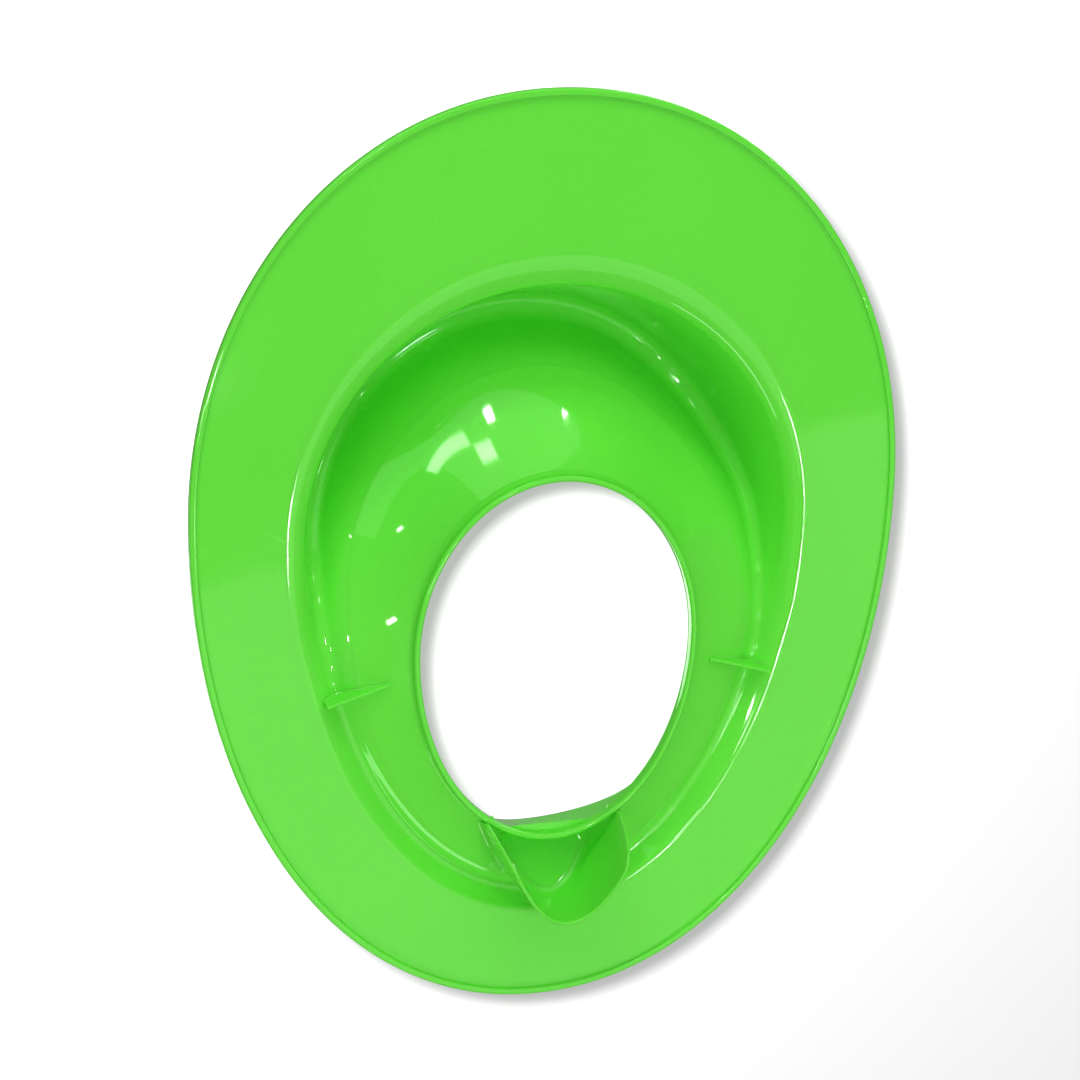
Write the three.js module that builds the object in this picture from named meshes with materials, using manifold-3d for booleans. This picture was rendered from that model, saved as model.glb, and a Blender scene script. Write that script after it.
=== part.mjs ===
// A child's toilet training seat: one green plastic moulding that lies on the ring of an adult toilet seat.
// Millimetres, +Z up as it is used. The wide back of the seat is at +Y and the splash guard at -Y.
// The moulding is a thin shell with these regions, each a closed solid of its own that meets its neighbours
// face to face: bead round the brim, flat brim, raised seat ring, bowl, rim of the opening, and, standing on
// them, the splash guard above, the deflector skirt below and two locating ribs.
import * as THREE from "three";
import { mergeVertices } from "three/addons/utils/BufferGeometryUtils.js";
import Module from "manifold-3d";

const wasm = await Module();
wasm.setup();

// ---- driving dimensions ----
const wall = 2; // thickness of the shell
const brimZ = 36; // underside of the flat brim; the lowest edge of the skirt is at 0
const cutGap = 0.3; // clearance of a piece that is cut to fit the shell
const sectionY = -25; // the vertical sections of the shell all pass through the point (0, sectionY)
const sections = 96; // sections round the shell

// Plan outlines. Each is two half ovals that share their widest line, at y = widestY.
const brimEdge = { halfWidth: 150.3, widestY: 23.8, rear: 168.7, front: 216.3, fullness: 2.06 };
const ringFoot = { halfWidth: 112, widestY: 12, rear: 121, front: 166, fullness: 2 };
const ringSide = { halfWidth: 103.5, widestY: 12, rear: 103, front: 163, fullness: 2 };
const opening = { halfWidth: 58.5, widestY: -33.2, rear: 70, front: 82.7, fullness: 2 };

// The hollow under the seat ring. Heights are above the underside of the brim, on the underside of the shell.
const crown = { front: 5.5, rear: 58 }; // top of the hollow
const climbY = { from: -50, to: 100 }; // where the ring climbs from its front height to its rear height
const footDrop = 4; // most that the foot of the ring rises before its side wall turns up
const footDropShare = 0.4; // and the most of the hollow's height that this rise takes
const sideDraft = 0.25; // lean of the side wall, in mm for each mm of height
const frontRun = 3; // how much further the side wall runs in at the front, where the hollow is shallow
const crownWidth = { front: 3, rear: 9 };
const edgeAcross = 0.84; // edge of the bowl, as a share of the way out from the rim to the top of the hollow
const edgeBelow = 0.15; // how far that edge lies below a straight slope, as a share of the height
const bowlFlare = 0.05; // how far the bowl bulges up between that edge and the rim, as a share of its length

// Where the rounding of each corner of the section starts: a distance from the corner, or less where one of its
// two sides is short.
const cornerReach = { bend: 3.5, crown: 4, step: 4, edge: 14 };
const mostOfSide = 0.45;
const mostOfStep = { above: 0.4, below: 0.5 };

// The floor of the pocket inside the skirt: one slope that starts below the shell and ends in a recess in it.
const pocketFloor = { frontDrop: 3.6, slope: 0.45, pieceDepth: 12.5 };
const pocketAngle = { full: 0.13, none: 0.27 }; // radians from the front, where the recess is cut in the shell

const beadWidth = 3;
const beadDrop = 1.5; // the bead round the brim stands down from it
const beadFoot = { slope: 0.3, corner: 1 }; // how far in from the bead's sides its flanks and its flat start
const rimWidth = 2.6;
const rimUnder = -4; // underside of the bowl where it meets the rim of the opening
const rimDrop = 7.6; // lowest edge of that rim, below the underside of the brim
const rimDraft = 0.1;
const chamfer = 0.7; // on the edges of the bead and of the rim

// The guard's top follows a raised cosine along its span, which bellPower sharpens a little.
const guard = { top: 33, halfSpan: 35.4, bellSpan: 36, bellPower: 1.2, lean: 0.26, base: 2.2, tip: 1.6 };
const guardFoot = { setBack: 0.2, leastHeight: 0.5 }; // from the edge of the opening, and at its two ends
// The skirt's middle line is a parabola in plan, y = frontY + x^2 / curve.
const skirt = { frontY: -146, curve: 22.75, halfSpan: 28.8, thick: 2, deepest: 36, frontDepth: 32, legRun: 17 };
const legRisePower = 0.8; // how quickly the free edge of a leg drops away from the rim
const rib = { outer: [96.1, -52.6], inner: [69.5, -45.7], thick: 1.8, outerDrop: 4.6, innerDrop: 2.1 };

// Fineness of the mesh, and how far a cutter reaches past what it cuts.
const cornerSteps = { fine: 3, coarse: 2 };
const bowlSteps = 5;
const guardSteps = 28;
const skirtSteps = 56;
const floorSteps = 8;
const cutterReach = 20;

// ---- plan outlines ----
// Distance from the section point to the outline, in the direction of angle from +Y towards +X.
function outlineRadius(oval, angle) {
  const inside = (r) => {
    const x = Math.abs(r * Math.sin(angle)) / oval.halfWidth;
    const y = sectionY + r * Math.cos(angle) - oval.widestY;
    const reach = y > 0 ? oval.rear : oval.front;
    return x ** oval.fullness + Math.abs(y / reach) ** oval.fullness < 1;
  };
  const halvings = 40;
  let low = 0;
  let high = oval.rear + oval.front;
  for (let step = 0; step < halvings; step++) {
    const middle = (low + high) / 2;
    if (inside(middle)) low = middle;
    else high = middle;
  }
  return low;
}

const smooth = (t) => {
  const u = Math.min(Math.max(t, 0), 1);
  return u * u * (3 - 2 * u);
};

// ---- the section of the shell ----
const point = (r, z) => new THREE.Vector2(r, z);
const between = (a, b, share) => a.clone().lerp(b, share);

// Points of a rounded corner that starts and ends at a reach from it.
function roundedCorner(before, corner, after, reach, steps) {
  const a = between(corner, before, reach / corner.distanceTo(before));
  const b = between(corner, after, reach / corner.distanceTo(after));
  return new THREE.QuadraticBezierCurve(a, corner, b).getPoints(steps);
}

const mix = (range, share) => range.front + (range.rear - range.front) * share;

const pocketFloorAt = (y) => pocketFloor.slope * (y - skirt.frontY) - pocketFloor.frontDrop;

// Lifts an underside to the floor of the pocket, as far as the angle lies in front of the opening.
function withPocket(line, angle) {
  const fromFront = Math.abs(Math.PI - angle);
  const share = smooth((pocketAngle.none - fromFront) / (pocketAngle.none - pocketAngle.full));
  return line.map((p, i) => {
    const lift = pocketFloorAt(sectionY + p.x * Math.cos(angle)) - p.y;
    return i === line.length - 1 ? p : point(p.x, p.y + share * Math.max(lift, 0));
  });
}

// The underside from the foot of the ring in to the rim, as [radius, height] points.
function undersideAt(angle) {
  const rFoot = outlineRadius(ringFoot, angle);
  const rSide = outlineRadius(ringSide, angle);
  const rRim = outlineRadius(opening, angle) + rimWidth;
  const y = sectionY + rSide * Math.cos(angle);
  const climb = smooth((y - climbY.from) / (climbY.to - climbY.from));
  const early = smooth(2 * climb);
  const crownZ = mix(crown, climb);
  const drop = Math.min(footDrop, footDropShare * crownZ);
  const rCrown = rSide - frontRun * (1 - early) - sideDraft * (crownZ - drop);

  const foot = point(rFoot, 0);
  const bend = point(rSide, drop);
  const footTurn = point((rFoot + rSide) / 2, 0);
  const footEnd = between(footTurn, bend, 0.5);
  const crownOut = point(rCrown, crownZ);
  const crownIn = point(rCrown - mix(crownWidth, climb), crownZ);
  const rim = point(rRim, rimUnder);
  const edge = point(
    rim.x + edgeAcross * (crownIn.x - rim.x),
    rim.y + (edgeAcross - edgeBelow) * (crownIn.y - rim.y),
  );

  const side = mostOfSide * bend.distanceTo(crownOut);
  const top = mostOfSide * crownOut.distanceTo(crownIn);
  const step = crownIn.distanceTo(edge);
  const bendReach = Math.min(cornerReach.bend, side, mostOfSide * bend.distanceTo(footTurn));
  const crownReach = Math.min(cornerReach.crown, side, top);
  const stepReach = Math.min(cornerReach.step, mostOfStep.above * step, top);
  const edgeReach = Math.min(cornerReach.edge, mostOfStep.below * step, mostOfSide * edge.distanceTo(rim));
  const ring = [
    ...new THREE.QuadraticBezierCurve(foot, footTurn, footEnd).getPoints(cornerSteps.fine),
    ...roundedCorner(footTurn, bend, crownOut, bendReach, cornerSteps.fine),
    ...roundedCorner(bend, crownOut, crownIn, crownReach, cornerSteps.fine),
    ...roundedCorner(crownOut, crownIn, edge, stepReach, cornerSteps.coarse),
    ...roundedCorner(crownIn, edge, rim, edgeReach, cornerSteps.coarse),
  ];

  const start = ring[ring.length - 1];
  const chord = rim.clone().sub(start);
  const flare = point(chord.y, -chord.x).multiplyScalar(bowlFlare);
  const control = between(start, rim, 0.5).add(flare);
  const bowl = new THREE.QuadraticBezierCurve(start, control, rim).getPoints(bowlSteps).slice(1);
  const under = withPocket([...ring, ...bowl], angle);
  return { ring: under.slice(0, ring.length), bowl: under.slice(ring.length) };
}

// Points a wall thickness above an underside, square to it, and straight above it at its two ends.
function raised(line) {
  const inmost = line[line.length - 1].x;
  return line.map((p, i) => {
    if (i === 0 || i === line.length - 1) return point(p.x, p.y + wall);
    const along = line[i + 1].clone().sub(line[i - 1]).normalize();
    return point(Math.max(p.x + wall * along.y, inmost + cutGap), p.y - wall * along.x);
  });
}

// Every region of one section, each as a closed loop that runs inwards below and outwards above.
function sectionLoops(angle) {
  const { ring, bowl } = undersideAt(angle);
  const under = [...ring, ...bowl];
  const over = raised(under);
  const last = ring.length;
  const rEdge = outlineRadius(brimEdge, angle);
  const rBead = rEdge - beadWidth;
  const rHole = outlineRadius(opening, angle);
  const end = under.length - 1;
  return {
    brim_bead: [
      point(rEdge - beadFoot.slope, -beadDrop + chamfer),
      point(rEdge - beadFoot.corner, -beadDrop),
      point(rBead + beadFoot.corner, -beadDrop),
      point(rBead + beadFoot.slope, -beadDrop + chamfer),
      point(rBead, 0),
      point(rBead, wall),
      point(rEdge - chamfer, wall),
      point(rEdge, wall - chamfer),
    ],
    brim: [point(rBead, 0), under[0], over[0], point(rBead, wall)],
    seat_ring: [...under.slice(0, last), ...over.slice(0, last).reverse()],
    bowl: [...under.slice(last - 1), ...over.slice(last - 1).reverse()],
    opening_rim: [
      under[end],
      point(rHole + rimWidth - rimDraft, -rimDrop + chamfer),
      point(rHole + rimWidth - chamfer, -rimDrop),
      point(rHole + chamfer, -rimDrop),
      point(rHole, -rimDrop + chamfer),
      point(rHole, over[end].y - chamfer),
      point(rHole + chamfer, over[end].y),
      over[end],
    ],
    // The space that the shell and everything above it fills, with clearance below it.
    aboveShell: [
      point(rEdge, -cutGap),
      ...under.map((p) => point(p.x, p.y - cutGap)),
      point(rHole + rimWidth + cutGap, -rimDrop - cutGap),
      point(rHole - cutGap, -rimDrop - cutGap),
      point(rHole - cutGap, crown.rear + cutterReach),
      point(rEdge, crown.rear + cutterReach),
    ],
    // The space that the shell and everything below it fills, with clearance above it.
    belowShell: [
      point(rEdge, -cutterReach),
      point(rHole - cutGap, -cutterReach),
      point(rHole - cutGap, over[end].y + cutGap),
      ...over.map((p) => point(p.x, p.y + cutGap)).reverse(),
      point(rEdge, wall + cutGap),
    ],
  };
}

// ---- meshes ----
function geometryOf(vertices, triangles) {
  const geometry = new THREE.BufferGeometry();
  geometry.setAttribute("position", new THREE.Float32BufferAttribute(vertices, 3));
  geometry.setIndex(triangles);
  return geometry;
}

// A closed ring from one region's loops, all with the same number of points. Each four-sided face is split from
// its lower corner, so that two regions split the face that they share the same way.
function ringSolid(loops) {
  const count = loops[0].length;
  const vertices = [];
  const triangles = [];
  loops.forEach((loop, i) => {
    const angle = (2 * Math.PI * i) / loops.length;
    for (const p of loop) {
      vertices.push(p.x * Math.sin(angle), sectionY + p.x * Math.cos(angle), brimZ + p.y);
    }
    const next = ((i + 1) % loops.length) * count;
    for (let j = 0; j < count; j++) {
      const k = (j + 1) % count;
      const [a, b, c, d] = [i * count + j, i * count + k, next + k, next + j];
      if (loop[j].y <= loop[k].y) triangles.push(a, d, c, a, c, b);
      else triangles.push(a, d, b, d, c, b);
    }
  });
  return geometryOf(vertices, triangles);
}

// A closed wall from stations of four corners each: inner foot, outer foot, outer top, inner top.
function wallSolid(stations) {
  const vertices = stations.flat().flatMap((corner) => corner.toArray());
  const triangles = [];
  for (let i = 0; i + 1 < stations.length; i++) {
    for (let j = 0; j < 4; j++) {
      const k = (j + 1) % 4;
      const [a, b, c, d] = [4 * i + j, 4 * i + k, 4 * i + 4 + k, 4 * i + 4 + j];
      triangles.push(a, b, c, a, c, d);
    }
  }
  const end = 4 * (stations.length - 1);
  triangles.push(0, 2, 1, 0, 3, 2, end, end + 1, end + 2, end, end + 2, end + 3);
  return geometryOf(vertices, triangles);
}

function manifoldOf(geometry) {
  const bare = geometry.clone();
  bare.deleteAttribute("normal");
  bare.deleteAttribute("uv");
  const merged = mergeVertices(bare);
  return new wasm.Manifold(
    new wasm.Mesh({
      numProp: 3,
      vertProperties: merged.attributes.position.array,
      triVerts: new Uint32Array(merged.index.array),
    }),
  );
}

function bodyGeometry(body) {
  const mesh = body.getMesh();
  return geometryOf(Array.from(mesh.vertProperties), Array.from(mesh.triVerts));
}

// The largest body that is left of a solid when the cutter is taken away.
function cutAway(solid, cutter) {
  const bodies = solid.subtract(cutter).decompose();
  bodies.sort((a, b) => b.volume() - a.volume());
  return bodyGeometry(bodies[0]);
}

// ---- the shell ----
const sectionAngles = Array.from({ length: sections }, (_, i) => (2 * Math.PI * i) / sections);
const allLoops = sectionAngles.map(sectionLoops);
const shellRegion = (name) => ringSolid(allLoops.map((loops) => loops[name]));
const aboveShell = manifoldOf(shellRegion("aboveShell"));
const belowShell = manifoldOf(shellRegion("belowShell"));

// ---- splash guard: a blade that follows the front of the opening and leans away from it ----
function splashGuard() {
  const rimTop = rimUnder + wall;
  const lowest = rimTop + guardFoot.leastHeight;
  const rootDepth = wall / 2;
  const stations = [];
  for (let i = 0; i <= guardSteps; i++) {
    const x = guard.halfSpan * (1 - (2 * i) / guardSteps);
    const y = opening.widestY - opening.front * Math.sqrt(1 - (x / opening.halfWidth) ** 2);
    const bell = Math.cos((Math.PI * x) / (2 * guard.bellSpan)) ** guard.bellPower;
    const top = lowest + (guard.top - lowest) * bell;
    const out = new THREE.Vector2(
      x / opening.halfWidth ** 2,
      (y - opening.widestY) / opening.front ** 2,
    ).normalize();
    const corner = (z, offset) => {
      const shift = guardFoot.setBack + guard.lean * (z - rimTop) + offset;
      return new THREE.Vector3(x + out.x * shift, y + out.y * shift, brimZ + z);
    };
    stations.push([
      corner(rimTop - rootDepth, 0),
      corner(rimTop - rootDepth, guard.base),
      corner(top, guard.tip),
      corner(top, 0),
    ]);
  }
  return cutAway(manifoldOf(wallSolid(stations)), belowShell);
}

// ---- deflector skirt: a U-shaped wall below the front of the ring ----
// Depth of its free edge, where run is the way along it from the end of a leg and half is half its length.
function skirtDepth(run, half) {
  if (run < skirt.legRun) {
    const rise = Math.sin((Math.PI / 2) * (run / skirt.legRun)) ** legRisePower;
    return rimDrop + (skirt.deepest - rimDrop) * rise;
  }
  const towardsFront = (run - skirt.legRun) / (half - skirt.legRun);
  return skirt.deepest - (skirt.deepest - skirt.frontDepth) * smooth(towardsFront);
}

// Points along the middle of the skirt's wall, with the direction out of the pocket.
function skirtPath(halfSpan, steps) {
  return Array.from({ length: steps + 1 }, (_, i) => {
    const x = halfSpan * (1 - (2 * i) / steps);
    const at = new THREE.Vector2(x, skirt.frontY + x ** 2 / skirt.curve);
    return { at, out: new THREE.Vector2((2 * x) / skirt.curve, -1).normalize() };
  });
}

function skirtWall() {
  const path = skirtPath(skirt.halfSpan, skirtSteps);
  const runs = [0];
  for (let i = 1; i <= skirtSteps; i++) runs.push(runs[i - 1] + path[i].at.distanceTo(path[i - 1].at));
  const total = runs[skirtSteps];
  const half = skirt.thick / 2;
  const high = crown.front + wall;
  return wallSolid(
    path.map(({ at, out }, i) => {
      const low = -skirtDepth(Math.min(runs[i], total - runs[i]), total / 2);
      const corner = (z, offset) =>
        new THREE.Vector3(at.x + out.x * offset, at.y + out.y * offset, brimZ + z);
      return [corner(low, -half), corner(low, half), corner(high, half), corner(high, -half)];
    }),
  );
}

// The sloped floor in the front of the pocket, as a wall whose stations run across it from side to side.
function skirtFloor() {
  const rear = skirt.frontY + pocketFloor.pieceDepth;
  const high = crown.front + wall;
  const half = 0.97 * Math.sqrt(skirt.curve * pocketFloor.pieceDepth); // just inside the skirt's middle line
  const stations = [];
  for (let i = 0; i <= floorSteps; i++) {
    const x = half * (1 - (2 * i) / floorSteps);
    const front = skirt.frontY + x ** 2 / skirt.curve;
    stations.push([
      new THREE.Vector3(x, rear, brimZ + pocketFloorAt(rear)),
      new THREE.Vector3(x, front, brimZ + pocketFloorAt(front)),
      new THREE.Vector3(x, front, brimZ + high),
      new THREE.Vector3(x, rear, brimZ + high),
    ]);
  }
  return wallSolid(stations);
}

function deflectorSkirt() {
  return cutAway(manifoldOf(skirtWall()).add(manifoldOf(skirtFloor())), aboveShell);
}

// ---- locating ribs: thin fins across the hollow of the ring ----
function locatingRib(side) {
  const outer = new THREE.Vector2(side * rib.outer[0], rib.outer[1]);
  const inner = new THREE.Vector2(side * rib.inner[0], rib.inner[1]);
  const across = inner.clone().sub(outer).normalize();
  const profile = new THREE.Shape([
    new THREE.Vector2(0, -rib.outerDrop),
    new THREE.Vector2(outer.distanceTo(inner), -rib.innerDrop),
    new THREE.Vector2(outer.distanceTo(inner), crown.front + wall),
    new THREE.Vector2(0, crown.front + wall),
  ]);
  const fin = new THREE.ExtrudeGeometry(profile, { depth: rib.thick, bevelEnabled: false });
  const along = new THREE.Vector3(across.x, across.y, 0);
  const up = new THREE.Vector3(0, 0, 1);
  fin.translate(0, 0, -rib.thick / 2);
  fin.applyMatrix4(new THREE.Matrix4().makeBasis(along, up, along.clone().cross(up)));
  fin.translate(outer.x, outer.y, brimZ);
  return cutAway(manifoldOf(fin), aboveShell);
}

// ---- the object ----
const green = new THREE.Color().setRGB(0.4, 0.87, 0.27, THREE.SRGBColorSpace);

function glossyGreen(shade) {
  return new THREE.MeshStandardMaterial({
    color: green.clone().multiplyScalar(shade),
    roughness: 0.25,
    metalness: 0,
  });
}

const group = new THREE.Group();

function addPiece(name, geometry, shade) {
  const mesh = new THREE.Mesh(geometry, glossyGreen(shade));
  mesh.name = name;
  group.add(mesh);
}

addPiece("brim_bead", shellRegion("brim_bead"), 0.94);
addPiece("brim", shellRegion("brim"), 1);
addPiece("seat_ring", shellRegion("seat_ring"), 0.97);
addPiece("bowl", shellRegion("bowl"), 1);
addPiece("opening_rim", shellRegion("opening_rim"), 0.94);
addPiece("splash_guard", splashGuard(), 0.97);
addPiece("deflector_skirt", deflectorSkirt(), 0.97);
addPiece("left_rib", locatingRib(1), 0.94);
addPiece("right_rib", locatingRib(-1), 0.94);

export default group;
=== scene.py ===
"""A child's toilet training seat, seen from below: fine plastic surfaces and a small white studio."""

import math
from types import SimpleNamespace

import bmesh
import bpy
import numpy as np
from mathutils import Matrix, Vector


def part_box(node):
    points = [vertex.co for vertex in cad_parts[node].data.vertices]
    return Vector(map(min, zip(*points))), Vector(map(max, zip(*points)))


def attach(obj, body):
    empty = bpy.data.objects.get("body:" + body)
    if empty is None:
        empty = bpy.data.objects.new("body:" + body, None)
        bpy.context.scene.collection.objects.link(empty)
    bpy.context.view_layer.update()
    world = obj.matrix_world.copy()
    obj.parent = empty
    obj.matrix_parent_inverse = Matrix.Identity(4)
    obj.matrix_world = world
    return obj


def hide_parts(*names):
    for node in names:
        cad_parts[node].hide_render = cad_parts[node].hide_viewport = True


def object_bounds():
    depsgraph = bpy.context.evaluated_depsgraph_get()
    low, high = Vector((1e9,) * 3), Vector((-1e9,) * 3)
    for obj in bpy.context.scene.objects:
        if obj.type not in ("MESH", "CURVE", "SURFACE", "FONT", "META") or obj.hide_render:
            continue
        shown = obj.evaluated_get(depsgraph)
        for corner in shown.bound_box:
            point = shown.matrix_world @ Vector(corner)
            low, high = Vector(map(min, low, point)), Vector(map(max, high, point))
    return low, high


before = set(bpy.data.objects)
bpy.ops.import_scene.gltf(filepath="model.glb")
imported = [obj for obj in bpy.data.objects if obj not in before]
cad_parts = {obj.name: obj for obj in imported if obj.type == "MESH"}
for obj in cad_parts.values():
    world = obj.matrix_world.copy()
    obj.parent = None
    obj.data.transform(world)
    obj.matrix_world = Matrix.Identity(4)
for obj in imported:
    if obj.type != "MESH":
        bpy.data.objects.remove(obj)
cad_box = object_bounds()

# ---- sizes of the moulding, in millimetres, as in the CAD ----
MM = 0.001
WALL = 2.0
BRIM_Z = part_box("brim")[0].z / MM
SECTION_Y = -25.0
SECTIONS = 480


def oval(half_width, widest_y, rear, front, fullness=2.0):
    return SimpleNamespace(
        half_width=half_width, widest_y=widest_y, rear=rear, front=front, fullness=fullness
    )


BRIM_EDGE = oval(150.3, 23.8, 168.7, 216.3, 2.06)
RING_FOOT = oval(112, 12, 121, 166)
RING_SIDE = oval(103.5, 12, 103, 163)
OPENING = oval(58.5, -33.2, 70, 82.7)

CROWN = (5.5, 58.0)  # height of the hollow at the front and at the rear
CLIMB_Y = (-50.0, 100.0)  # where it climbs from the one to the other
CROWN_WIDTH = (3.0, 9.0)
FOOT_DROP = 4.0  # most that the foot of the ring rises before its side wall turns up
FOOT_DROP_SHARE = 0.4  # and the most of the hollow's height that this rise takes
SIDE_DRAFT = 0.25  # lean of the side wall, for each unit of height
FRONT_RUN = 3.0  # how much further that wall runs in at the front
EDGE_ACROSS = 0.84  # edge of the bowl, as a share of the way out from the rim to the top of the hollow
EDGE_BELOW = 0.15  # how far that edge lies below a straight slope, as a share of the height
BOWL_FLARE = 0.05  # how far the bowl bulges up between that edge and the rim, as a share of its length

# Corners of the section: how far from each its rounding starts at most, and the most of its two sides
# that the rounding takes.
CORNERS = [
    (3.5, 0.45, 0.45),  # foot to side wall
    (4.0, 0.45, 0.45),  # side wall to crown
    (4.0, 0.45, 0.4),  # crown to the step down to the bowl
    (14.0, 0.5, 0.45),  # step to bowl
]
POCKET = SimpleNamespace(front_drop=3.6, slope=0.45, full=0.13, none=0.27, blend=4.0)
BEAD = SimpleNamespace(
    width=3.0, drop=1.5, lap=0.5, outer_round=1.1, inner_round=0.7, top_round=0.7
)
RIM = SimpleNamespace(width=2.6, under=-4.0, drop=7.6, fillet=1.3, top_round=0.9)
GUARD = SimpleNamespace(
    top=33.0, half_span=35.4, bell_span=36.0, bell_power=1.2, lean=0.26, base=2.2, tip=1.6, fillet=2.0,
    set_back=0.2, least_height=0.5,
)
SKIRT = SimpleNamespace(
    front_y=-146.0, curve=22.75, half_span=29.3, thick=2.0, deepest=36.0, front_depth=32.0,
    leg_run=17.0, leg_power=0.8, outer_fillet=1.6, inner_fillet=3.2,
)
RIB = SimpleNamespace(
    outer=(96.1, -52.6), inner=(69.5, -45.7), thick=1.7, outer_drop=4.6, inner_drop=2.1,
    fillet=1.0, full_fillet_height=4.0, least_fillet=0.02,
)
SINK = 0.7  # how far a piece that stands on the shell reaches into it
LIP = 0.75  # half width of a wall's rounded free edge, as a share of half its thickness
MIDDLE = Vector((0, 0, BRIM_Z * MM))  # of the seat, in metres


def smooth(t):
    u = np.clip(t, 0, 1)
    return u * u * (3 - 2 * u)


def mix(ends, share):
    return ends[0] + (ends[1] - ends[0]) * share


# ---- the section of the shell ----
def outline_radius(shape, angles):
    """Distance from the section point to an oval, for each angle from +Y towards +X."""
    low, high = np.zeros_like(angles), np.full_like(angles, 400.0)
    for _ in range(40):
        middle = (low + high) / 2
        x = np.abs(middle * np.sin(angles)) / shape.half_width
        y = SECTION_Y + middle * np.cos(angles) - shape.widest_y
        reach = np.where(y > 0, shape.rear, shape.front)
        inside = x**shape.fullness + np.abs(y / reach) ** shape.fullness < 1
        low, high = np.where(inside, middle, low), np.where(inside, high, middle)
    return low


def bezier(a, control, b, steps):
    """Points of a quadratic curve, without its first one. Ends are arrays of (sections, 2)."""
    t = np.linspace(0, 1, steps + 1)[1:, None, None]
    return (1 - t) ** 2 * a + 2 * t * (1 - t) * control + t**2 * b


def straight(a, b, steps):
    t = np.linspace(0, 1, steps + 1)[1:, None, None]
    return (1 - t) * a + t * b


def distance(a, b):
    return np.linalg.norm(a - b, axis=1)


def towards(a, b, reach):
    return a + (b - a) * (reach / distance(a, b))[:, None]


def pocket_floor(y):
    return POCKET.slope * (y - SKIRT.front_y) - POCKET.front_drop


def underside(angles):
    """The underside from the foot of the ring in to the rim, as an array of (points, sections, 2), and
    the number of its points that belong to the seat ring."""
    r_side, r_rim = outline_radius(RING_SIDE, angles), outline_radius(OPENING, angles) + RIM.width
    y = SECTION_Y + r_side * np.cos(angles)
    climb = smooth((y - CLIMB_Y[0]) / (CLIMB_Y[1] - CLIMB_Y[0]))
    early = smooth(2 * climb)
    top = mix(CROWN, climb)
    drop = np.minimum(FOOT_DROP, FOOT_DROP_SHARE * top)
    r_crown = r_side - FRONT_RUN * (1 - early) - SIDE_DRAFT * (top - drop)

    def pair(r, z):
        return np.stack([r, np.broadcast_to(z, r.shape)], axis=1)

    foot = pair(outline_radius(RING_FOOT, angles), 0.0)
    bend = pair(r_side, drop)
    crown_out = pair(r_crown, top)
    crown_in = pair(r_crown - mix(CROWN_WIDTH, climb), top)
    rim = pair(r_rim, RIM.under)
    edge = rim + (crown_in - rim) * np.array([EDGE_ACROSS, EDGE_ACROSS - EDGE_BELOW])

    # The foot curves up out of the brim as far as the first bend.
    corners = [(foot + bend) / 2 * (1, 0), bend, crown_out, crown_in, edge, rim]
    last = (corners[0] + bend) / 2
    line = [foot[None], bezier(foot, corners[0], last, 16)]
    for i, (longest, back, ahead) in enumerate(CORNERS, start=1):
        before, corner, after = corners[i - 1 : i + 2]
        limit = np.minimum(back * distance(before, corner), ahead * distance(corner, after))
        reach = np.minimum(longest, limit)
        start, end = towards(corner, before, reach), towards(corner, after, reach)
        line += [straight(last, start, 6), bezier(start, corner, end, 8)]
        last = end
    ring_points = sum(len(part) for part in line)
    chord = rim - last
    flare = BOWL_FLARE * np.stack([chord[:, 1], -chord[:, 0]], axis=1)
    line.append(bezier(last, (last + rim) / 2 + flare, rim, 30))
    line = np.concatenate(line)

    from_front = np.abs(np.pi - angles)
    share = smooth((POCKET.none - from_front) / (POCKET.none - POCKET.full))
    lift = np.maximum(pocket_floor(SECTION_Y + line[:, :, 0] * np.cos(angles)) - line[:, :, 1], 0)
    off_rim = smooth((line[:, :, 0] - r_rim) / POCKET.blend)
    line[:, :, 1] += share * off_rim * lift
    return line, ring_points


def raised(line):
    """The upper side of the shell: a wall thickness above its underside and square to it."""
    along = np.gradient(line, axis=0)
    along /= np.linalg.norm(along, axis=2, keepdims=True)
    along[0] = along[-1] = (-1.0, 0.0)
    over = line + WALL * np.stack([along[:, :, 1], -along[:, :, 0]], axis=2)
    over[:-1, :, 0] = np.maximum(over[:-1, :, 0], line[-1, :, 0] + 0.02)
    return over


ANGLES = np.linspace(0, 2 * np.pi, SECTIONS, endpoint=False)
UNDER, RING_POINTS = underside(ANGLES)
OVER = raised(UNDER)


def height(surface, x, y):
    """Height of the shell's underside or upper side above the brim's underside, at points in plan."""
    x, y = np.atleast_1d(x), np.atleast_1d(y)
    radius = np.hypot(x, y - SECTION_Y)
    turn = np.mod(np.arctan2(x, y - SECTION_Y), 2 * np.pi) / (2 * np.pi) * SECTIONS
    first = np.floor(turn).astype(int) % SECTIONS
    part = turn - np.floor(turn)
    found = np.empty(len(x))
    for i, (k, share, r) in enumerate(zip(first, part, radius)):
        line = (1 - share) * surface[:, k] + share * surface[:, (k + 1) % SECTIONS]
        found[i] = np.interp(r, line[::-1, 0], line[::-1, 1])
    return found


# ---- meshes ----
def finished(name, vertices, faces, nodes, bevel_angle=40):
    """A closed piece in metres, kept inside the CAD's box, that stands for CAD nodes."""
    mesh = bpy.data.meshes.new(name)
    points = (np.asarray(vertices, float).reshape(-1, 3) + (0, 0, BRIM_Z)) * MM
    mesh.from_pydata(np.clip(points, *cad_box), [], faces)
    work = bmesh.new()
    work.from_mesh(mesh)
    bmesh.ops.recalc_face_normals(work, faces=work.faces)
    work.to_mesh(mesh)
    work.free()
    mesh.shade_smooth()
    mesh.set_sharp_from_angle(angle=math.radians(bevel_angle))
    piece = bpy.data.objects.new(name, mesh)
    bpy.context.scene.collection.objects.link(piece)
    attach(piece, "root")
    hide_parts(*nodes)
    return piece


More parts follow.
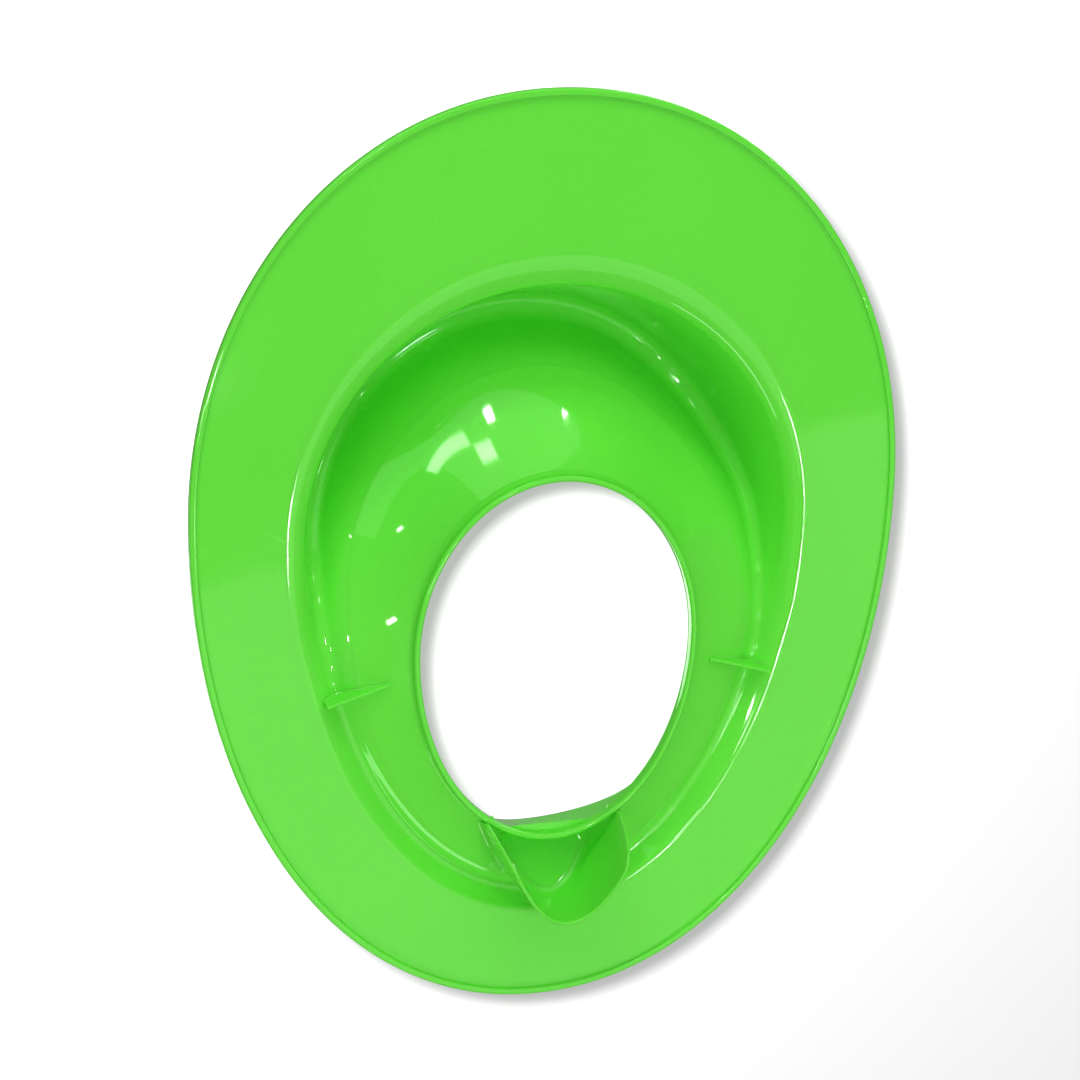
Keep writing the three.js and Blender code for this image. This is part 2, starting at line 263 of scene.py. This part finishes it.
def grid_faces(rows, columns, offset=0):
    """Four-sided faces of a grid that is closed along both directions."""
    faces = []
    for i in range(rows):
        for j in range(columns):
            k, n = (j + 1) % columns, (i + 1) % rows
            faces.append(tuple(offset + v for v in (i * columns + j, i * columns + k,
                                                    n * columns + k, n * columns + j)))
    return faces


def ring_piece(name, loop, node):
    """A loop of (points, sections, 2) swept round the shell."""
    radius, z = loop[:, :, 0].T, loop[:, :, 1].T
    turn = ANGLES[:, None]
    points = np.stack([radius * np.sin(turn), SECTION_Y + radius * np.cos(turn), z], axis=2)
    return finished(name, points, grid_faces(*radius.shape), [node])


def wall_mesh(stations, offset=0):
    """Vertices and faces of a closed wall from stations of (stations, points, 3), with flat ends."""
    stations = np.asarray(stations)
    rows, columns = stations.shape[:2]
    faces = grid_faces(rows, columns, offset)[: (rows - 1) * columns]
    faces.append(tuple(offset + j for j in range(columns)))
    faces.append(tuple(offset + (rows - 1) * columns + j for j in range(columns)))
    return stations.reshape(-1, 3), faces


def fillet(edge, side, radius, surface, degrees):
    """Points (offset, height) of the curve between a wall's face and the surface that it hangs from."""
    points = []
    for turn in np.radians(degrees):
        offset = edge + side * radius * (1 - math.sin(turn))
        points.append((offset, surface(offset) - radius * (1 - math.cos(turn))))
    return points


def lip(half, low, tall, steps):
    """Points (offset, height) of the rounded free edge of a wall that hangs down to a lowest height."""
    turns = np.radians(np.linspace(0, 180, steps))
    return [(half * math.cos(turn), low + tall * (1 - math.sin(turn))) for turn in turns]


def sunk(loop):
    """A loop closed a little inside the shell that its two ends lie on."""
    return loop + [(loop[-1][0], loop[-1][1] + SINK), (loop[0][0], loop[0][1] + SINK)]


def pairs(*points):
    """Points of a loop, each (r, z) of arrays over the sections."""
    whole = [np.stack(np.broadcast_arrays(r + 0 * ANGLES, z + 0 * ANGLES), axis=1) for r, z in points]
    return np.stack(whole)


def arc(r, z, radius, start, end, steps):
    """Points of a circular arc in the section, centred on (r, z), in degrees from straight outwards."""
    turn = np.radians(np.linspace(start, end, steps + 1))
    return pairs(*[(r + radius * np.cos(t), z + radius * np.sin(t)) for t in turn])


def loop_of(*parts):
    return np.concatenate(parts)


# ---- brim, bead, ring and bowl ----
R_EDGE = outline_radius(BRIM_EDGE, ANGLES)
R_BEAD = R_EDGE - BEAD.width
R_HOLE = outline_radius(OPENING, ANGLES)
R_RIM = R_HOLE + RIM.width


def build_bead():
    low, lap, top = BEAD.drop, BEAD.lap, BEAD.top_round
    outside, inside = BEAD.outer_round, BEAD.inner_round
    loop = loop_of(
        pairs((R_BEAD - lap, 0.0)),
        arc(R_BEAD - lap, -lap, lap, 90, 0, 4)[1:],
        arc(R_BEAD + inside, inside - low, inside, 180, 270, 6),
        arc(R_EDGE - outside, outside - low, outside, 270, 360, 10),
        arc(R_EDGE - top, WALL - top, top, 0, 90, 6),
        pairs((R_BEAD - lap, WALL)),
    )
    return ring_piece("rolled_bead", loop, "brim_bead")


def build_brim():
    steps = np.linspace(0, 1, 9)
    foot = UNDER[0, :, 0]
    out = [(R_BEAD - BEAD.lap + t * (foot - R_BEAD + BEAD.lap), 0.0) for t in steps]
    back = [(r, WALL) for r, _ in reversed(out)]
    return ring_piece("flat_brim", pairs(*out, *back), "brim")


def build_ring():
    n = RING_POINTS
    return ring_piece("ring_shell", loop_of(UNDER[:n], OVER[:n][::-1]), "seat_ring")


def build_bowl():
    n = RING_POINTS - 1
    return ring_piece("bowl_shell", loop_of(UNDER[n:], OVER[n:][::-1]), "bowl")


def build_opening_rim():
    def bowl_at(r):
        return height(UNDER, r * np.sin(ANGLES), SECTION_Y + r * np.cos(ANGLES))

    foot = fillet(R_RIM, 1, RIM.fillet, bowl_at, np.linspace(0, 90, 7))
    half, top = RIM.width / 2, RIM.top_round
    loop = loop_of(
        pairs((R_RIM, RIM.under + SINK), (foot[0][0], foot[0][1] + SINK), *foot),
        arc(R_HOLE + half, half - RIM.drop, half, 0, -180, 14),
        arc(R_HOLE + top, RIM.under + WALL - top, top, 180, 90, 6),
        pairs((R_RIM, RIM.under + WALL)),
    )
    return ring_piece("rounded_rim", loop, "opening_rim")


# ---- splash guard ----
GUARD_BASE = RIM.under + WALL  # height of the guard's foot, on top of the rim


def guard_inner(z):
    """How far the guard's inner face stands out from the edge of the opening at a height."""
    return GUARD.set_back + GUARD.lean * (z - GUARD_BASE)


def guard_thickness(z):
    return mix((GUARD.base, GUARD.tip), (z - GUARD_BASE) / (GUARD.top - GUARD_BASE))


def build_guard():
    stations = []
    for x in np.linspace(GUARD.half_span, -GUARD.half_span, 141):
        y = OPENING.widest_y - OPENING.front * math.sqrt(1 - (x / OPENING.half_width) ** 2)
        out = Vector((x / OPENING.half_width**2, (y - OPENING.widest_y) / OPENING.front**2)).normalized()

        def at(offset):
            return x + out.x * offset, y + out.y * offset

        def shell(offset):
            return height(OVER, *at(offset))[0]

        bell = math.cos(math.pi * x / (2 * GUARD.bell_span)) ** GUARD.bell_power
        least = GUARD_BASE + GUARD.least_height
        top = least + (GUARD.top - least) * bell
        tall = top - GUARD_BASE
        radius = guard_thickness(top) / 2
        curve = min(GUARD.fillet, 0.4 * tall)
        loop = [(guard_inner(z), z) for z in np.linspace(GUARD_BASE - SINK, top - radius, 14)]

        # The rounded top.
        rise = min(radius, tall / 2)
        for turn in np.radians(np.linspace(180, 0, 9))[1:-1]:
            offset = guard_inner(top) + radius + radius * math.cos(turn)
            loop.append((offset, top - rise + rise * math.sin(turn)))

        # The outer face, and the curve from it into the shell.
        root = shell(guard_inner(GUARD_BASE) + guard_thickness(GUARD_BASE) + curve)
        low = min(max(root, GUARD_BASE) + curve, top - 0.5 * radius)
        for z in np.linspace(top - radius, low, 14):
            loop.append((guard_inner(z) + guard_thickness(z), z))
        face = loop[-1][0]
        for turn in np.radians(np.linspace(90, 0, 7))[1:]:
            offset = face + curve * (1 - math.sin(turn))
            loop.append((offset, shell(offset) + curve * (1 - math.cos(turn))))
        loop.append((loop[-1][0], loop[-1][1] - SINK))
        stations.append([(*at(offset), z) for offset, z in loop])
    return finished("leaning_guard", *wall_mesh(stations), ["splash_guard"])


# ---- deflector skirt and the floor of its pocket ----
def skirt_depth(run, half):
    if run < SKIRT.leg_run:
        rise = math.sin(math.pi / 2 * max(run, 0) / SKIRT.leg_run) ** SKIRT.leg_power
        return RIM.drop + (SKIRT.deepest - RIM.drop) * rise
    share = smooth((run - SKIRT.leg_run) / (half - SKIRT.leg_run))
    return mix((SKIRT.deepest, SKIRT.front_depth), float(share))


def build_skirt():
    steps = 220
    xs = np.linspace(SKIRT.half_span, -SKIRT.half_span, steps + 1)
    ys = SKIRT.front_y + xs**2 / SKIRT.curve
    runs = np.concatenate([[0], np.cumsum(np.hypot(np.diff(xs), np.diff(ys)))])
    half = SKIRT.thick / 2
    stations = []
    for x, y, run in zip(xs, ys, runs):
        low = -skirt_depth(min(run, runs[-1] - run), runs[-1] / 2)
        out = Vector((2 * x / SKIRT.curve, -1.0)).normalized()

        def at(offset):
            return x + out.x * offset, y + out.y * offset

        def shell(offset):
            return height(UNDER, *at(offset))[0]

        def floor(offset):
            return min(shell(offset), pocket_floor(at(offset)[1]))

        loop = fillet(half, 1, SKIRT.outer_fillet, shell, np.linspace(0, 90, 8))
        loop += lip(LIP * half, low, LIP * half, 11)
        loop += fillet(-half, -1, SKIRT.inner_fillet, floor, np.linspace(90, 0, 10))
        stations.append([(*at(offset), z) for offset, z in sunk(loop)])
    wall_points, wall_faces = wall_mesh(stations)
    floor_points, floor_faces = pocket_floor_mesh(len(wall_points))
    points = np.concatenate([wall_points, floor_points])
    return finished("u_skirt", points, wall_faces + floor_faces, ["deflector_skirt"])


def pocket_floor_mesh(offset):
    """The surface inside the skirt, from its front wall to the rim, as a closed sheet."""
    rows, columns = 60, 48
    rear_y = -112.0  # past the edge of the rim
    stations = []
    for y in np.linspace(SKIRT.front_y + 0.3, rear_y, rows):
        half = math.sqrt(SKIRT.curve * (y - SKIRT.front_y))
        x = np.linspace(-half, half, columns)
        ys = np.full(columns, y)
        shell = height(UNDER, x, ys)
        low = np.minimum(pocket_floor(ys), shell - 0.04)
        below = np.stack([x, ys, low], axis=1)
        above = np.stack([x, ys, shell + SINK], axis=1)
        stations.append(np.concatenate([below, above[::-1]]))
    return wall_mesh(stations, offset)


# ---- ribs ----
def build_rib(name, side, node):
    outer, inner = Vector((side * RIB.outer[0], RIB.outer[1])), Vector((side * RIB.inner[0], RIB.inner[1]))
    along = (inner - outer).normalized()
    across = Vector((-along.y, along.x))
    length = (inner - outer).length
    half = RIB.thick / 2
    stations = []
    for s in np.linspace(0, length, 40):
        centre = outer + along * s
        low = -mix((RIB.outer_drop, RIB.inner_drop), s / length)

        def shell(offset):
            return height(UNDER, *(centre + across * offset))[0]

        tall = shell(0) - low
        radius = RIB.fillet * min(1.0, max(RIB.least_fillet, tall / RIB.full_fillet_height))
        loop = fillet(half, 1, radius, shell, np.linspace(0, 90, 6))
        loop += lip(LIP * half, low, min(LIP * half, 0.4 * tall), 9)
        loop += fillet(-half, -1, radius, shell, np.linspace(90, 0, 6))
        stations.append([(*(centre + across * offset), z) for offset, z in sunk(loop)])
    return finished(name, *wall_mesh(stations), [node])


# ---- material ----
def node(tree, kind, at, **values):
    made = tree.nodes.new(kind)
    made.location = at
    for key, value in values.items():
        if key in made.inputs:
            made.inputs[key].default_value = value
        else:
            setattr(made, key, value)
    return made


def glossy_green():
    material = bpy.data.materials.new("green_plastic")
    material.use_nodes = True
    tree = material.node_tree
    link = tree.links.new
    shader = tree.nodes["Principled BSDF"]
    shader.inputs["Specular IOR Level"].default_value = 0.5
    shader.inputs["IOR"].default_value = 1.47
    shader.inputs["Subsurface Weight"].default_value = 0.12
    shader.inputs["Subsurface Radius"].default_value = (0.3, 1.0, 0.2)
    shader.inputs["Subsurface Scale"].default_value = 0.002
    place = node(tree, "ShaderNodeTexCoord", (-1400, 0))

    # Slow drift in the pigment and a fine mottle.
    cloud = node(tree, "ShaderNodeTexNoise", (-1000, 400), Scale=9.0, Detail=3.0)
    mottle = node(tree, "ShaderNodeTexNoise", (-1000, 200), Scale=420.0, Detail=4.0)
    blend = node(tree, "ShaderNodeMix", (-750, 350), data_type="FLOAT", Factor=0.25)
    colour = node(tree, "ShaderNodeValToRGB", (-500, 350))
    colour.color_ramp.elements[0].position = 0.3
    colour.color_ramp.elements[0].color = (0.205, 0.86, 0.09, 1)
    colour.color_ramp.elements[1].position = 0.7
    colour.color_ramp.elements[1].color = (0.225, 0.9, 0.104, 1)

    # Handling scratches: thin lines between stretched cells, only where a mask lets them show.
    stretch = node(tree, "ShaderNodeMapping", (-1200, -200), Scale=(1.0, 0.16, 1.0), Rotation=(0, 0, 0.5))
    cells = node(tree, "ShaderNodeTexVoronoi", (-1000, -200), Scale=70.0, feature="DISTANCE_TO_EDGE")
    line = node(tree, "ShaderNodeMapRange", (-800, -200))
    line.inputs["From Max"].default_value = 0.012
    line.inputs["To Min"].default_value = 1.0
    line.inputs["To Max"].default_value = 0.0
    patch = node(tree, "ShaderNodeTexNoise", (-1000, -400), Scale=22.0, Detail=2.0)
    where = node(tree, "ShaderNodeMapRange", (-800, -400))
    where.inputs["From Min"].default_value = 0.58
    where.inputs["From Max"].default_value = 0.66
    scratch = node(tree, "ShaderNodeMath", (-600, -300), operation="MULTIPLY")

    # Roughness: polished, with duller patches and scratches.
    dull = node(tree, "ShaderNodeTexNoise", (-1000, 0), Scale=30.0, Detail=5.0)
    rough = node(tree, "ShaderNodeMapRange", (-800, 0))
    rough.inputs["From Min"].default_value = 0.3
    rough.inputs["From Max"].default_value = 0.7
    rough.inputs["To Min"].default_value = 0.03
    rough.inputs["To Max"].default_value = 0.07
    rougher = node(tree, "ShaderNodeMath", (-400, 0), operation="MULTIPLY_ADD")
    rougher.inputs[1].default_value = 0.12

    # Bump: the slow waves of a sink-marked moulding, its fine skin and the scratches.
    wave = node(tree, "ShaderNodeTexNoise", (-1000, -600), Scale=26.0, Detail=1.0)
    skin = node(tree, "ShaderNodeTexNoise", (-1000, -800), Scale=900.0, Detail=2.0)
    waves = node(tree, "ShaderNodeBump", (-600, -600), Strength=1.0, Distance=0.00012)
    skins = node(tree, "ShaderNodeBump", (-400, -700), Strength=1.0, Distance=0.0000025)
    lines = node(tree, "ShaderNodeBump", (-200, -600), Strength=0.3, Distance=0.00002)
    lines.invert = True

    for texture in (cloud, mottle, dull, patch, wave, skin):
        link(place.outputs["Object"], texture.inputs["Vector"])
    link(place.outputs["Object"], stretch.inputs["Vector"])
    link(stretch.outputs["Vector"], cells.inputs["Vector"])
    link(cloud.outputs["Fac"], blend.inputs["A"])
    link(mottle.outputs["Fac"], blend.inputs["B"])
    link(blend.outputs["Result"], colour.inputs["Fac"])
    link(colour.outputs["Color"], shader.inputs["Base Color"])
    link(cells.outputs["Distance"], line.inputs["Value"])
    link(patch.outputs["Fac"], where.inputs["Value"])
    link(line.outputs["Result"], scratch.inputs[0])
    link(where.outputs["Result"], scratch.inputs[1])
    link(dull.outputs["Fac"], rough.inputs["Value"])
    link(scratch.outputs["Value"], rougher.inputs[0])
    link(rough.outputs["Result"], rougher.inputs[2])
    link(rougher.outputs["Value"], shader.inputs["Roughness"])
    link(wave.outputs["Fac"], waves.inputs["Height"])
    link(skin.outputs["Fac"], skins.inputs["Height"])
    link(scratch.outputs["Value"], lines.inputs["Height"])
    link(waves.outputs["Normal"], skins.inputs["Normal"])
    link(skins.outputs["Normal"], lines.inputs["Normal"])
    link(lines.outputs["Normal"], shader.inputs["Normal"])
    return material


# ---- camera ----
def look_from(azimuth, elevation, roll, distance, target):
    """A matrix for a camera at a distance from the target, in degrees and metres."""
    a, e = math.radians(azimuth), math.radians(elevation)
    back = Vector((math.sin(a) * math.cos(e), -math.cos(a) * math.cos(e), math.sin(e)))
    turned = (-back).to_track_quat("-Z", "Y").to_matrix().to_4x4()
    return (
        Matrix.Translation(target + back * distance)
        @ turned
        @ Matrix.Rotation(math.radians(roll), 4, "Z")
    )


def add_camera():
    camera = bpy.data.objects.new("camera", bpy.data.cameras.new("camera"))
    bpy.context.scene.collection.objects.link(camera)
    camera.matrix_world = look_from(133.463, -64.986, -47.573, 0.992, MIDDLE)
    camera.data.sensor_width = 36
    camera.data.lens = 80.93
    camera.data.shift_x = -0.01446
    camera.data.shift_y = 0.02308
    camera.data.clip_start = 0.01
    bpy.context.scene.camera = camera
    return camera


# ---- studio ----
def one_sided(name, colour, strength):
    """A pale surface that is clear from behind. Strength is the light it gives of its own."""
    material = bpy.data.materials.new(name)
    material.use_nodes = True
    tree = material.node_tree
    tree.nodes.remove(tree.nodes["Principled BSDF"])
    matt = node(tree, "ShaderNodeBsdfDiffuse", (-400, 200), Color=(*colour, 1))
    glow = node(tree, "ShaderNodeEmission", (-400, 0), Strength=strength)
    both = node(tree, "ShaderNodeAddShader", (-200, 100))
    clear = node(tree, "ShaderNodeBsdfTransparent", (-200, -100))
    side = node(tree, "ShaderNodeNewGeometry", (-400, 400))
    choice = node(tree, "ShaderNodeMixShader", (0, 100))
    link = tree.links.new
    link(matt.outputs[0], both.inputs[0])
    link(glow.outputs[0], both.inputs[1])
    link(side.outputs["Backfacing"], choice.inputs[0])
    link(both.outputs[0], choice.inputs[1])
    link(clear.outputs[0], choice.inputs[2])
    link(choice.outputs[0], tree.nodes["Material Output"].inputs["Surface"])
    return material


def add_sheet(name, centre, half, facing, material):
    """A square sheet that only the camera sees, facing up (1) or down (-1)."""
    mesh = bpy.data.meshes.new(name)
    corners = [(-half, -half, 0), (half, -half, 0), (half, half, 0), (-half, half, 0)]
    mesh.from_pydata(corners, [], [(0, 1, 2, 3)] if facing > 0 else [(3, 2, 1, 0)])
    sheet = bpy.data.objects.new(name, mesh)
    sheet.location = centre
    bpy.context.scene.collection.objects.link(sheet)
    mesh.materials.append(material)
    for ray in ("diffuse", "glossy", "transmission", "shadow"):
        setattr(sheet, "visible_" + ray, False)
    return sheet


def add_box(name, direction, away, width, depth, light, seen_by=None):
    """A softbox that faces the middle of the seat. Light is its brightness, where a white wall is 1."""
    lamp = bpy.data.lights.new(name, "AREA")
    lamp.shape = "RECTANGLE"
    lamp.size, lamp.size_y = width, depth
    lamp.energy = light * math.pi * width * depth
    place = Vector(direction).normalized()
    box = bpy.data.objects.new(name, lamp)
    turned = place.to_track_quat("Z", "Y").to_matrix().to_4x4()
    box.matrix_world = Matrix.Translation(MIDDLE + place * away) @ turned
    bpy.context.scene.collection.objects.link(box)
    if seen_by:
        box.light_linking.receiver_collection = seen_by
    return box


def compass(bearing, elevation):
    """A direction, in degrees from +Y towards +X and up from the level of the brim."""
    b, e = math.radians(bearing), math.radians(elevation)
    return (math.sin(b) * math.cos(e), math.cos(b) * math.cos(e), math.sin(e))


def collection_of(name, objects):
    group = bpy.data.collections.new(name)
    for thing in objects:
        group.objects.link(thing)
    return group


def build_studio(camera, pieces):
    """A white studio. The lamps below light only the seat, and one more casts its shadow on the backdrop."""
    scene = bpy.context.scene
    world = bpy.data.worlds.new("soft_white")
    scene.world = world
    world.use_nodes = True
    world.node_tree.nodes["Background"].inputs["Color"].default_value = (1, 1, 1, 1)
    world.node_tree.nodes["Background"].inputs["Strength"].default_value = 0.335
    scene.view_settings.view_transform = "Standard"
    scene.view_settings.gamma = 0.8  # deeper greens in the hollows

    add_sheet("floor", (0, 0, -0.0005), 8, 1, one_sided("pale_floor", (0.3, 0.3, 0.3), 0.5))
    top = cad_box[1].z
    paper = one_sided("white_backdrop", (0.13, 0.13, 0.13), 0.53)
    backdrop = add_sheet("backdrop", (-0.03, -0.03, top + 0.002), 0.45, -1, paper)
    seat = collection_of("seat_only", pieces)
    back = collection_of("backdrop_only", [backdrop])

    # Below the seat: broad cards that fill its hollows.
    add_box("rear_wall", compass(0, -28), 1.35, 1.8, 1.0, 1.0, seen_by=seat)
    add_box("side_card", compass(120, -48), 1.2, 0.5, 0.5, 0.3, seen_by=seat)
    add_box("front_low", compass(160, -22), 1.3, 0.9, 0.25, 3.6, seen_by=seat)

    # Small bright lamps, as bearing, elevation, width, depth and brightness. The polished edges mirror them.
    sparks = [
        (10, -21.2, 0.09, 0.045, 60),
        (-27, -14, 0.07, 0.045, 60),
        (19, -16.5, 0.2, 0.07, 12),
        (31, -19.5, 0.27, 0.05, 10),
        (48, -30, 0.02, 0.05, 40),
        (-60, -32, 0.04, 0.06, 50),
        (-19, -60, 0.05, 0.05, 50),
        (-20, -80, 0.12, 0.07, 50),
        (-165, -81, 0.05, 0.05, 60),
        (-144, -70, 0.04, 0.07, 60),
        (93, -57, 0.05, 0.1, 50),
        (130, -77, 0.05, 0.05, 60),
    ]
    for bearing, elevation, width, depth, light in sparks:
        add_box("spark", compass(bearing, elevation), 1.3, width, depth, light, seen_by=seat)

    # A card that faces up. The brim mirrors its far edge as a faint line across.
    card = add_box("front_card", (0, 0, -1), 1.0, 0.95, 0.62, 1.1, seen_by=seat)
    card.matrix_world = (
        Matrix.Translation((-0.33, -0.59, -1.0))
        @ Matrix.Rotation(math.radians(-11.5), 4, "Z")
        @ Matrix.Rotation(math.pi, 4, "X")
    )
    beside_lens = camera.matrix_world @ Vector((-0.068, 0.055, 0.0))
    add_box("shadow_lamp", beside_lens - MIDDLE, 1.0, 0.09, 0.09, 2500.0, seen_by=back)

    # Above it: for the views of the seat's upper side.
    add_box("top_box", (0.4, -0.5, 0.8), 1.4, 0.9, 0.7, 3.6)
    add_box("top_fill", (-0.6, 0.5, 0.6), 1.5, 0.9, 0.7, 3.5)


pieces = [
    build_bead(),
    build_brim(),
    build_ring(),
    build_bowl(),
    build_opening_rim(),
    build_guard(),
    build_skirt(),
    build_rib("rib_left", 1, "left_rib"),
    build_rib("rib_right", -1, "right_rib"),
]
plastic = glossy_green()
for piece in pieces:
    piece.data.materials.append(plastic)

build_studio(add_camera(), pieces)
